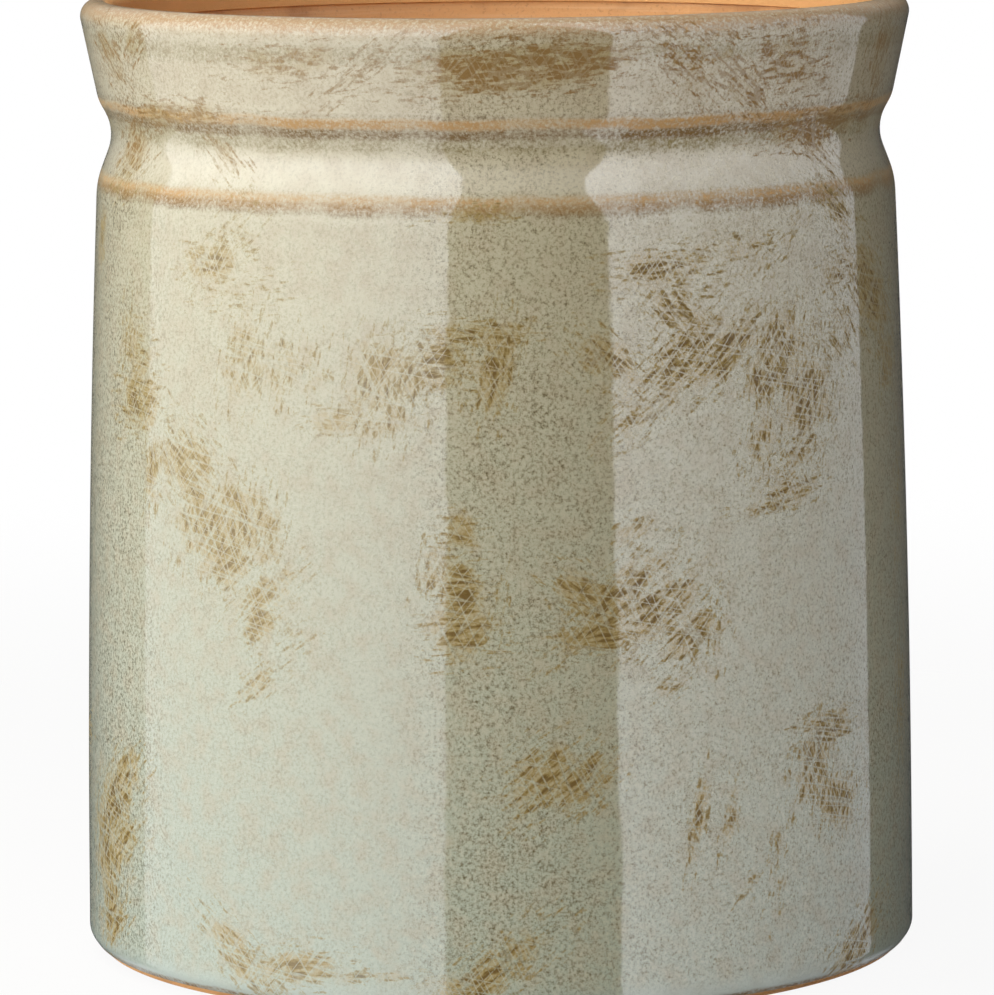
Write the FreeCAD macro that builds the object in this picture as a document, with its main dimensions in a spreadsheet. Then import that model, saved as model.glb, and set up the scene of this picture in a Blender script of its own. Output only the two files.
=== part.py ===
"""Glazed clay flower pot with its drain plug, drain screen and foot pads.

A thrown clay vessel with a flared collar, a hollow neck and a slightly swelling side carries a fired
glaze on its outside and lip. A ribbed rubber plug closes the drain hole from below, a perforated screen
lies on the floor over the hole, and rubber pads stand under the foot ring.

Millimetres, +Z up. The origin is on the ground under the middle of the pot, and +Z is its axis.
"""
import FreeCAD, Part
import Sketcher
import math
import os
import re

# Every driving size in millimetres, with what it measures. Heights on the vessel start at its foot.
SIZES = {
    "pot_height": (345.2, "foot to the top of the bare clay lip"),
    "lip_radius": (150.6, "collar's face carried up to the top of the lip"),
    "collar_height": (35.2, "top of the lip down to the collar's lower edge"),
    "collar_radius": (143.2, "collar's lower edge"),
    "neck_drop": (11.0, "collar's lower edge down to the hollow of the neck"),
    "neck_radius": (137.1, "hollow of the neck"),
    "shoulder_drop": (18.5, "hollow of the neck down to the shoulder"),
    "shoulder_radius": (144.2, "shoulder"),
    "belly_height": (142.0, "foot to the middle of the side's swelling"),
    "belly_radius": (150.1, "middle of the side's swelling"),
    "base_radius": (151.0, "side just above the foot's bevel"),
    "bevel_height": (5.5, "height of the bevel round the foot"),
    "bevel_width": (4.0, "width of the bevel round the foot"),
    "wall": (10.6, "wall, measured level"),
    "floor_thickness": (13.0, "floor of the pot"),
    "foot_height": (7.0, "hollow under the floor, inside the foot ring"),
    "foot_width": (20.0, "flat underside of the foot ring"),
    "foot_draft": (2.0, "slope of the foot ring's inner side"),
    "drain_radius": (13.0, "drain hole"),
    "glaze": (0.8, "thickness of the fired glaze, measured level"),
    "glaze_lip_drop": (9.0, "how far the glaze runs down inside the lip"),
    "plug_inset": (1.0, "end of the plug below the pot's floor"),
    "plug_clearance": (0.05, "gap between the plug's ribs and the drain hole"),
    "plug_groove": (1.2, "depth of the grooves between the plug's ribs"),
    "plug_flange_radius": (21.0, "plug's flange"),
    "plug_flange": (3.0, "thickness of the plug's flange"),
    "grip_length": (28.0, "grip bar across the plug's flange"),
    "grip_width": (6.0, "width of the grip bar"),
    "grip_height": (2.6, "height of the grip bar"),
    "screen_radius": (38.0, "drain screen"),
    "screen_thickness": (1.4, "thickness of the drain screen"),
    "screen_rim": (4.0, "unbroken rim of the screen"),
    "pad_radius": (8.5, "foot pad where it is stuck on"),
    "pad_thickness": (1.6, "thickness of a foot pad"),
    "pad_taper": (0.8, "how much narrower a foot pad is on the ground"),
}

# Shares: where a rounding starts along the shorter side beside its corner, and other proportions.
SHARES = {
    "lip_round_share": 0.58,
    "mouth_round_share": 0.38,
    "collar_round_share": 0.18,
    "neck_round_share": 0.62,
    "shoulder_round_share": 0.26,
    "belly_round_share": 0.88,
    "base_round_share": 0.45,
    "foot_round_share": 0.10,
    "hollow_round_share": 0.16,
    "floor_round_share": 0.16,
    "drain_round_share": 0.10,
    "glaze_end_share": 0.60,
    "glaze_edge_share": 0.40,
    "plug_round_share": 0.30,
    "rib_round_share": 0.35,
    "grip_round_share": 0.45,
    "screen_hole_share": 0.25,
    "screen_round_share": 0.25,
    "pad_round_share": 0.25,
}

PLUG_RIBS = 3
SCREEN_RINGS = 4
FIRST_RING_HOLES = 6
PAD_COUNT = 4
FIRST_PAD_ANGLE = 0
FULL_TURN = 360

# Places that several pieces share, as expressions of the sizes.
COLLAR_UP = "(pot_height - collar_height)"
NECK_UP = f"({COLLAR_UP} - neck_drop)"
SHOULDER_UP = f"({NECK_UP} - shoulder_drop)"
FLOOR_UP = "(foot_height + floor_thickness)"
FOOT_RADIUS = "(base_radius - bevel_width)"
FOOT_INNER_RADIUS = f"({FOOT_RADIUS} - foot_width)"
PAD_CIRCLE = f"({FOOT_RADIUS} - foot_width / 2)"

# The vessel's outer corners from the foot's bevel up to the lip: name, radius, height, rounding.
SIDE = [
    ("base", "base_radius", "bevel_height", "base_round_share"),
    ("belly", "belly_radius", "belly_height", "belly_round_share"),
    ("shoulder", "shoulder_radius", SHOULDER_UP, "shoulder_round_share"),
    ("neck", "neck_radius", NECK_UP, "neck_round_share"),
    ("collar", "collar_radius", COLLAR_UP, "collar_round_share"),
]
LIP = ("lip", "lip_radius", "pot_height", "lip_round_share")
MOUTH = ("mouth", "lip_radius - wall", "pot_height", "mouth_round_share")

doc = FreeCAD.newDocument("FlowerPot")
sheet = doc.addObject("Spreadsheet::Sheet", "Sizes")


def fill_sheet():
    """One row for each size and share: its name, its value under that alias, and what it measures."""
    rows = [(name, value, note) for name, (value, note) in SIZES.items()]
    rows += [(name, share, "share") for name, share in SHARES.items()]
    for row, (name, value, note) in enumerate(rows, start=1):
        sheet.set(f"A{row}", name)
        sheet.set(f"B{row}", str(value))
        sheet.set(f"C{row}", note)
        sheet.setAlias(f"B{row}", name)
    doc.recompute()


def in_sheet(text):
    """The expression with each size's name pointed at its cell."""
    def cell(word):
        return f"Sizes.{word[0]}" if word[0] in SIZES or word[0] in SHARES else word[0]
    return re.sub(r"[a-z_]+", cell, text)


def bind(thing, path, text):
    """Tie a property or constraint to an expression of the sheet's sizes."""
    thing.setExpression(path, in_sheet(text))


def measure(text):
    """The expression's present value."""
    return float(sheet.evalExpression(in_sheet(text)))


def new_body(label, across="0", along="0", up="0"):
    """An empty body whose place follows the sheet."""
    body = doc.addObject("PartDesign::Body", label)
    body.Label = label
    for axis, text in zip("xyz", (across, along, up)):
        bind(body, f"Placement.Base.{axis}", text)
    return body


def new_sketch(body, name, role):
    """An empty sketch on one of the body's own origin planes."""
    plane = next(feature for feature in body.Origin.OriginFeatures if feature.Role == role)
    sketch = body.newObject("Sketcher::SketchObject", name)
    sketch.AttachmentSupport = (plane, [""])
    sketch.MapMode = "FlatFace"
    return sketch


def hold(sketch, name, text, kind, *where):
    """A named dimension in a sketch, tied to an expression."""
    index = sketch.addConstraint(Sketcher.Constraint(kind, *where, measure(text)))
    sketch.renameConstraint(index, name)
    bind(sketch, f"Constraints.{name}", text)


def place_point(sketch, name, across, up, vertex, end):
    """Fix a point by its distances from the sketch's two axes, or on an axis where one is zero."""
    axes = (("across", across, "DistanceX", -2), ("up", up, "DistanceY", -1))
    for word, text, kind, axis in axes:
        if text == "0":
            sketch.addConstraint(Sketcher.Constraint("PointOnObject", vertex, end, axis))
        else:
            hold(sketch, f"{name}_{word}", text, kind, -1, 1, vertex, end)


def side_length(one, other):
    """Expression for the distance between two corners of an outline."""
    return f"hypot(({one[1]}) - ({other[1]}); ({one[2]}) - ({other[2]}))"


def corner_arc(corner, leave, join):
    """Arc tangent to both sides of a corner, from leave on the first to join on the second."""
    bisector = ((leave - corner).normalize() + (join - corner).normalize()).normalize()
    half_angle = (leave - corner).getAngle(join - corner) / 2
    centre = corner + bisector * ((leave - corner).Length / math.cos(half_angle))
    middle = centre - bisector * (leave - centre).Length
    return Part.Arc(leave, middle, join)


def rounded_outline(sketch, corners):
    """Closed outline through corners, each (name, across, up, round share or None).

    A rounded corner stays as a construction point where its two sides would meet. Its arc is tangent to
    both sides and starts at its share of the shorter side, so it follows its sides when a size changes.
    """
    points = [FreeCAD.Vector(measure(across), measure(up), 0) for _, across, up, _ in corners]
    reaches = []
    for before, corner, after in zip(corners[-1:] + corners[:-1], corners, corners[1:] + corners[:1]):
        shorter = f"min({side_length(before, corner)}; {side_length(corner, after)})"
        reaches.append(f"{corner[3]} * {shorter}" if corner[3] else "0")
    sides = []
    for i in range(-1, len(points) - 1):
        along = (points[i + 1] - points[i]).normalize()
        leave = points[i] + along * measure(reaches[i])
        join = points[i + 1] - along * measure(reaches[i + 1])
        sides.append(sketch.addGeometry(Part.LineSegment(leave, join)))
    for i, (name, across, up, share) in enumerate(corners):
        before, after = sides[i], sides[(i + 1) % len(sides)]
        if not share:
            sketch.addConstraint(Sketcher.Constraint("Coincident", before, 2, after, 1))
            place_point(sketch, name, across, up, after, 1)
            continue
        vertex = sketch.addGeometry(Part.Point(points[i]), True)
        sketch.addConstraint(Sketcher.Constraint("PointOnObject", vertex, 1, before))
        sketch.addConstraint(Sketcher.Constraint("PointOnObject", vertex, 1, after))
        place_point(sketch, name, across, up, vertex, 1)
        leave = sketch.getPoint(before, 2)
        arc = sketch.addGeometry(corner_arc(points[i], leave, sketch.getPoint(after, 1)))
        one, two = sketch.getPoint(arc, 1), sketch.getPoint(arc, 2)
        first, last = (1, 2) if one.distanceToPoint(leave) < two.distanceToPoint(leave) else (2, 1)
        sketch.addConstraint(Sketcher.Constraint("Tangent", before, 2, arc, first))
        sketch.addConstraint(Sketcher.Constraint("Tangent", after, 1, arc, last))
        hold(sketch, f"{name}_round", reaches[i], "Distance", vertex, 1, after, 1)


def turned(body, corners):
    """Turn an outline in the XZ plane round the body's Z axis."""
    sketch = new_sketch(body, f"{body.Label}_section", "XZ_Plane")
    rounded_outline(sketch, corners)
    revolution = body.newObject("PartDesign::Revolution", f"{body.Label}_turned")
    revolution.Profile = sketch
    revolution.ReferenceAxis = (sketch, ["V_Axis"])
    revolution.Angle = FULL_TURN
    doc.recompute()
    return revolution


def moved(corners, name, across, up="0"):
    """The same corners under other names, moved by two expressions."""
    return [(f"{name}_{word}", f"{x} + ({across})", f"{z} + ({up})", share) for word, x, z, share in corners]


def clay_body():
    """The vessel: outside up to the lip, inside down to the floor, drain hole, foot ring."""
    body = new_body("clay_body", up="pad_thickness")
    inside = moved(SIDE[1:], "inner", "-wall")
    floor = ("floor", "base_radius - wall", FLOOR_UP, "floor_round_share")
    turned(body, [
        ("drain_under", "drain_radius", "foot_height", "drain_round_share"),
        ("hollow", f"{FOOT_INNER_RADIUS} - foot_draft", "foot_height", "hollow_round_share"),
        ("foot_inner", FOOT_INNER_RADIUS, "0", "foot_round_share"),
        ("foot_outer", FOOT_RADIUS, "0", "foot_round_share"),
        *SIDE, LIP, MOUTH, *reversed(inside), floor,
        ("drain_top", "drain_radius", FLOOR_UP, "drain_round_share"),
    ])
    return body


def glaze_coat():
    """The glaze: up from the foot's bevel and over the lip on the clay's line, and back on it moved out."""
    body = new_body("glaze_coat", up="pad_thickness")
    low_radius = "base_radius - bevel_width * glaze_end_share"
    low_up = "bevel_height * (1 - glaze_end_share)"
    high_radius = "lip_radius - wall - (lip_radius - collar_radius) * glaze_lip_drop / collar_height"
    high_up = "pot_height - glaze_lip_drop"
    turned(body, [
        ("low_end", low_radius, low_up, None),
        *SIDE, LIP, MOUTH,
        ("high_end", high_radius, high_up, None),
        ("outer_high_end", f"{high_radius} - glaze", high_up, "glaze_edge_share"),
        *moved([MOUTH], "outer", "-glaze", "glaze"),
        *moved([LIP], "outer", "glaze", "glaze"),
        *reversed(moved(SIDE, "outer", "glaze")),
        ("outer_low_end", f"{low_radius} + glaze", low_up, "glaze_edge_share"),
    ])
    return body


def drain_plug():
    """Ribbed rubber bung with a flange against the floor's underside and a grip bar below it."""
    body = new_body("drain_plug", up="pad_thickness + foot_height")
    length = "(floor_thickness - plug_inset)"
    rib = "(drain_radius - plug_clearance)"
    root = f"({rib} - plug_groove)"
    corners = [
        ("flange_middle", "0", "-plug_flange", None),
        ("flange_low", "plug_flange_radius", "-plug_flange", "plug_round_share"),
        ("flange_high", "plug_flange_radius", "0", "plug_round_share"),
        ("shank", root, "0", None),
    ]
    steps = 2 * PLUG_RIBS + 1
    for i in range(PLUG_RIBS):
        low, high = (f"{length} * {2 * i + k} / {steps}" for k in (1, 2))
        corners += [(f"root_low_{i}", root, low, None), (f"rib_low_{i}", rib, low, "rib_round_share"),
                    (f"rib_high_{i}", rib, high, "rib_round_share"), (f"root_high_{i}", root, high, None)]
    corners += [("nose", root, length, "rib_round_share"), ("nose_middle", "0", length, None)]
    turned(body, corners)
    grip = new_sketch(body, "grip_outline", "XY_Plane")
    bind(grip, "AttachmentOffset.Base.z", "-plug_flange")
    rounded_outline(grip, [
        (f"grip_{i}", f"{x} * grip_length / 2", f"{y} * grip_width / 2", "grip_round_share")
        for i, (x, y) in enumerate(((-1, -1), (1, -1), (1, 1), (-1, 1)))])
    pad = body.newObject("PartDesign::Pad", "grip")
    pad.Profile = grip
    pad.Reversed = True
    bind(pad, "Length", "grip_height")
    doc.recompute()
    return body


def drain_screen():
    """Perforated disc on the pot's floor: one hole in the middle and rings of holes round it."""
    body = new_body("drain_screen", up=f"pad_thickness + {FLOOR_UP}")
    turned(body, [
        ("low_middle", "0", "0", None), ("low_edge", "screen_radius", "0", None),
        ("high_edge", "screen_radius", "screen_thickness", "screen_round_share"),
        ("high_middle", "0", "screen_thickness", None),
    ])
    pitch = f"((screen_radius - screen_rim) / {SCREEN_RINGS + 0.5})"
    for ring in range(SCREEN_RINGS + 1):
        sketch = new_sketch(body, f"hole_{ring}", "XY_Plane")
        start = FreeCAD.Vector(measure(f"{ring} * {pitch}"), 0, 0)
        circle = Part.Circle(start, FreeCAD.Vector(0, 0, 1), measure(f"screen_hole_share * {pitch}"))
        hole = sketch.addGeometry(circle)
        place_point(sketch, "centre", f"{ring} * {pitch}" if ring else "0", "0", hole, 3)
        hold(sketch, "hole_radius", f"screen_hole_share * {pitch}", "Radius", hole)
        pocket = body.newObject("PartDesign::Pocket", f"holes_{ring}")
        pocket.Profile = sketch
        pocket.Type = "ThroughAll"
        pocket.SideType = "Symmetric"
        doc.recompute()
        if ring:
            pattern = body.newObject("PartDesign::PolarPattern", f"ring_{ring}")
            pattern.Originals = [pocket]
            pattern.Axis = (sketch, ["N_Axis"])
            pattern.Angle = FULL_TURN
            pattern.Occurrences = ring * FIRST_RING_HOLES
            body.Tip = pattern
            doc.recompute()
    return body


def foot_pad(number):
    """One rubber pad in the middle of the foot ring's underside."""
    angle = f"{FIRST_PAD_ANGLE + FULL_TURN * (number - 1) / PAD_COUNT} deg"
    body = new_body(f"foot_pad_{number}", f"{PAD_CIRCLE} * cos({angle})", f"{PAD_CIRCLE} * sin({angle})")
    turned(body, [
        ("ground_middle", "0", "0", None), ("ground_edge", "pad_radius - pad_taper", "0", "pad_round_share"),
        ("stuck_edge", "pad_radius", "pad_thickness", None), ("stuck_middle", "0", "pad_thickness", None),
    ])
    return body


def check(bodies):
    """Stop if any object failed or a piece isn't one sound solid."""
    for thing in doc.Objects:
        if "Invalid" in thing.State or "Error" in thing.State:
            raise RuntimeError(f"{thing.Label} failed: {thing.State}")
    for body in bodies:
        if body.Shape.isNull() or not body.Shape.isValid() or len(body.Shape.Solids) != 1:
            raise RuntimeError(f"{body.Label} isn't one sound solid")


fill_sheet()
pieces = [clay_body(), glaze_coat(), drain_plug(), drain_screen()]
pieces += [foot_pad(number) for number in range(1, PAD_COUNT + 1)]
doc.recompute()
check(pieces)
os.makedirs("parts", exist_ok=True)
for piece in pieces:
    piece.Shape.exportStep(os.path.join("parts", f"{piece.Label}.step"))
    print(f"{piece.Label}: {piece.Shape.Volume / 1000:.2f} cm3")
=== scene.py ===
"""Glazed clay flower pot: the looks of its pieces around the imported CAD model.

The vessel and its glaze are turned surfaces with throwing rings, worn edges and brushed marks; the plug,
screen and pads keep their CAD shape. Laid out as an add-on and run as a script. Metres, +Z up.
"""

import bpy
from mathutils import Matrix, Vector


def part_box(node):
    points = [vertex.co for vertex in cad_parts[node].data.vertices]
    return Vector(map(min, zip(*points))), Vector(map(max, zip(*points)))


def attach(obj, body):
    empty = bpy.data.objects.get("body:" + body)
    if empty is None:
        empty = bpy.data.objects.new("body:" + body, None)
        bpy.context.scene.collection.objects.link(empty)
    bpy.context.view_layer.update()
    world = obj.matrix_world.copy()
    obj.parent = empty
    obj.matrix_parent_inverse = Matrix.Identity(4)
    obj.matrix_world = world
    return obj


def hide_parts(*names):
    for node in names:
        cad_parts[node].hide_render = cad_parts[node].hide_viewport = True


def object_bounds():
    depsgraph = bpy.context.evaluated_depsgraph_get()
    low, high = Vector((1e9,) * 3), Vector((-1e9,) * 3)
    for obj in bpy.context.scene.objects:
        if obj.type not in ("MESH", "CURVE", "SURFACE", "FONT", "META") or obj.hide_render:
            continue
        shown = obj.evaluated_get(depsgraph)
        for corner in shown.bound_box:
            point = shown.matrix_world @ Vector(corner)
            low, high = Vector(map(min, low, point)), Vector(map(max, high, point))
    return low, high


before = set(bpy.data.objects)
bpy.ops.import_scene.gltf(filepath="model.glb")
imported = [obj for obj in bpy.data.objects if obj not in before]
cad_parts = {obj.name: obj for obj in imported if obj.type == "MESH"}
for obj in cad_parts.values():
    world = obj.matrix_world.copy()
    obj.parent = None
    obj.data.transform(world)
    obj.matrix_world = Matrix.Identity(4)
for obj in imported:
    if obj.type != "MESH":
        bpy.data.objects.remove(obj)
CAD_BOX = [list(map(float, corner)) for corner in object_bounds()]

import math

import bpy
import numpy as np
from bpy.props import FloatProperty, FloatVectorProperty, IntProperty, PointerProperty
from bpy.types import Operator, Panel, PropertyGroup
from mathutils import Matrix, Vector

bl_info = {
    "name": "Glazed flower pot",
    "version": (1, 0, 0),
    "blender": (4, 5, 0),
    "location": "View3D > Sidebar > Flower pot",
    "description": "Dresses the packed flower pot with its clay, glaze, rubber and plastic",
    "category": "Object",
}

MM = 0.001
FULL_TURN = 2 * math.pi


def linear(hex_colour):
    """An sRGB hex colour as linear red, green, blue and a full alpha."""
    shares = [int(hex_colour[i:i + 2], 16) / 255 for i in (1, 3, 5)]
    return [s / 12.92 if s <= 0.04045 else ((s + 0.055) / 1.055) ** 2.4 for s in shares] + [1.0]


def length(label, millimetres, note):
    """A size in millimetres as a property in metres."""
    return FloatProperty(name=label, description=note, default=millimetres * MM, unit="LENGTH", precision=5)


def share(label, value, note):
    """A proportion between 0 and 1 as a property."""
    return FloatProperty(name=label, description=note, default=value, min=0, max=1, subtype="FACTOR")


def colour(label, hex_colour, note):
    """An sRGB hex colour as a linear colour property."""
    return FloatVectorProperty(name=label, description=note, default=linear(hex_colour), size=4,
                               min=0, max=1, subtype="COLOR")


class VesselSizes(PropertyGroup):
    """The vessel's section as the CAD has it; heights start at its foot."""
    pot_height: length("Height", 345.2, "Foot to the top of the bare clay lip")
    lip_radius: length("Lip", 150.6, "Collar's face carried up to the top of the lip")
    collar_height: length("Collar height", 35.2, "Top of the lip down to the collar's lower edge")
    collar_radius: length("Collar", 143.2, "Collar's lower edge")
    neck_drop: length("Neck drop", 11.0, "Collar's lower edge down to the hollow of the neck")
    neck_radius: length("Neck", 137.1, "Hollow of the neck")
    shoulder_drop: length("Shoulder drop", 18.5, "Hollow of the neck down to the shoulder")
    shoulder_radius: length("Shoulder", 144.2, "Shoulder")
    belly_height: length("Belly height", 142.0, "Foot to the middle of the side's swelling")
    belly_radius: length("Belly", 150.1, "Middle of the side's swelling")
    base_radius: length("Base", 151.0, "Side just above the foot's bevel")
    bevel_height: length("Bevel height", 5.5, "Height of the bevel round the foot")
    bevel_width: length("Bevel width", 4.0, "Width of the bevel round the foot")
    wall: length("Wall", 10.6, "Wall, measured level")
    floor_thickness: length("Floor", 13.0, "Floor of the pot")
    foot_height: length("Foot hollow", 7.0, "Hollow under the floor, inside the foot ring")
    foot_width: length("Foot ring", 20.0, "Flat underside of the foot ring")
    foot_draft: length("Foot slope", 2.0, "Slope of the foot ring's inner side")
    drain_radius: length("Drain hole", 13.0, "Drain hole")
    glaze: length("Glaze", 0.8, "Thickness of the fired glaze, measured level")
    glaze_lip_drop: length("Glaze inside", 9.0, "How far the glaze runs down inside the lip")
    glaze_end: share("Glaze end", 0.6, "How far down the foot's bevel the glaze runs")


class ThrownMarks(PropertyGroup):
    """Marks that throwing, trimming and dipping leave on the clay and glaze."""
    ring_spacing: length("Throwing rings", 8.5, "Rise of the potter's fingers in one turn")
    ring_depth: length("Ring depth", 0.55, "Depth of the throwing rings inside")
    trim_spacing: length("Trimming lines", 2.4, "Spacing of the trimming tool's lines under the foot")
    trim_depth: length("Trim depth", 0.16, "Depth of the trimming lines")
    ripple: length("Glaze ripple", 0.05, "Slow unevenness of the glaze's surface")
    clay_gap: length("Clay under glaze", 0.15, "How far the hidden clay lies under the glaze's inner face")
    columns: IntProperty(name="Columns", description="Divisions round the glaze", default=384, min=96)
    clay_columns: IntProperty(name="Clay columns", description="Divisions round the clay", default=200,
                              min=96)


class PotColours(PropertyGroup):
    """Colours of the clay, glaze, rubber and plastic."""
    glaze_high: colour("Glaze, high", "#c5bc9b", "Celadon near the shoulder, warmer")
    glaze_low: colour("Glaze, low", "#aeb6a4", "Celadon near the foot, cooler")
    blush: colour("Blush", "#b5a284", "Warm blush that comes and goes in the glaze")
    sand: colour("Sand", "#d6d2ba", "Pale sand grains in the glaze")
    speck: colour("Speck", "#675a34", "Dark iron grit in the glaze")
    glaze_collar: colour("Glaze, collar", "#d3c9aa", "Thinner celadon on the collar and neck")
    pooled: colour("Pooled glaze", "#adb9ae", "Thick smooth glaze at the foot")
    # Painted light: a pale band that lightens the neck's hollow, where shade falls.
    neck: colour("Neck", "#e2d9c0", "Thin pale glaze in the neck")
    # Partly painted shade: below the collar, shade under the overhang over a real stain; on the lip, real
    # specks.
    stain_and_shade: colour("Stain", "#86774b", "Iron stain in the hollow of the neck")
    brushed: colour("Brushed brown", "#9a854f", "Dry-brushed iron wash")
    washed: colour("Thin wash", "#b49d68", "Thin iron wash round the brushed marks")
    brushed_deep: colour("Brushed, deep", "#6b5223", "Iron wash where it is thickest")
    brushed_collar: colour("Brushed, collar", "#8e6d3c", "Iron wash on the collar, redder")
    worn: colour("Worn edge", "#bd9661", "Clay showing through thin glaze on edges")
    worn_deep: colour("Worn, deep", "#785b2e", "Iron gathered below worn edges")
    lip: colour("Lip", "#b09068", "Thin glaze over the lip")
    clay: colour("Terracotta", "#dca469", "Bare fired clay")
    clay_pale: colour("Terracotta, pale", "#e6bd90", "Pale slip on the bare clay")
    clay_dark: colour("Terracotta, dark", "#8d5a30", "Fire marks on the bare clay")
    rubber: colour("Rubber", "#2b2b2a", "Plug and pads")
    rubber_bloom: colour("Rubber bloom", "#4a4945", "Dusty bloom on the rubber")
    screen: colour("Screen", "#39413a", "Moulded screen")
    screen_scuff: colour("Screen scuff", "#565d55", "Scuffs on the screen")
    floor: colour("Floor", "#d6d0c6", "Pale studio floor")


class StageSettings(PropertyGroup):
    """Camera and light."""
    lens: FloatProperty(name="Lens", description="Focal length in millimetres", default=225.8)
    camera_away: length("Camera away", 2267.3, "Pot's axis to the camera, level")
    camera_side: length("Camera side", -0.4, "Pot's axis to the camera, to the right")
    camera_over_lip: length("Camera over lip", 122.8, "Top of the lip up to the camera")
    pitch: FloatProperty(name="Pitch", description="Camera's tilt below level", subtype="ANGLE",
                         default=math.radians(7.70))
    roll: FloatProperty(name="Roll", description="Camera's turn about its view", subtype="ANGLE",
                        default=math.radians(-0.42))
    key_power: FloatProperty(name="Key", description="Left soft box", default=30, unit="POWER")
    fill_power: FloatProperty(name="Fill", description="Right soft box", default=2, unit="POWER")
    front_power: FloatProperty(name="Front", description="Soft light over the camera", default=18.5,
                               unit="POWER")
    top_power: FloatProperty(name="Top", description="Soft light over the pot", default=15, unit="POWER")
    ambient: FloatProperty(name="Ambient", description="World's light on matt surfaces", default=0.04, min=0)
    left_panel: FloatProperty(name="Left panel", description="Left panel as the glaze mirrors it",
                              default=1.86)
    right_panel: FloatProperty(name="Right panel", description="Right panel as the glaze mirrors it",
                               default=2.65)


class PotSettings(PropertyGroup):
    """Everything that a user would change on the pot and its stage."""
    sizes: PointerProperty(type=VesselSizes)
    marks: PointerProperty(type=ThrownMarks)
    colours: PointerProperty(type=PotColours)
    stage: PointerProperty(type=StageSettings)


# Brushed marks by the direction of their bristle lines: degrees above level, rising to the right.
BRUSHES = {"level": 4, "rising": 36, "steep": 80, "falling": -38}
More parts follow.
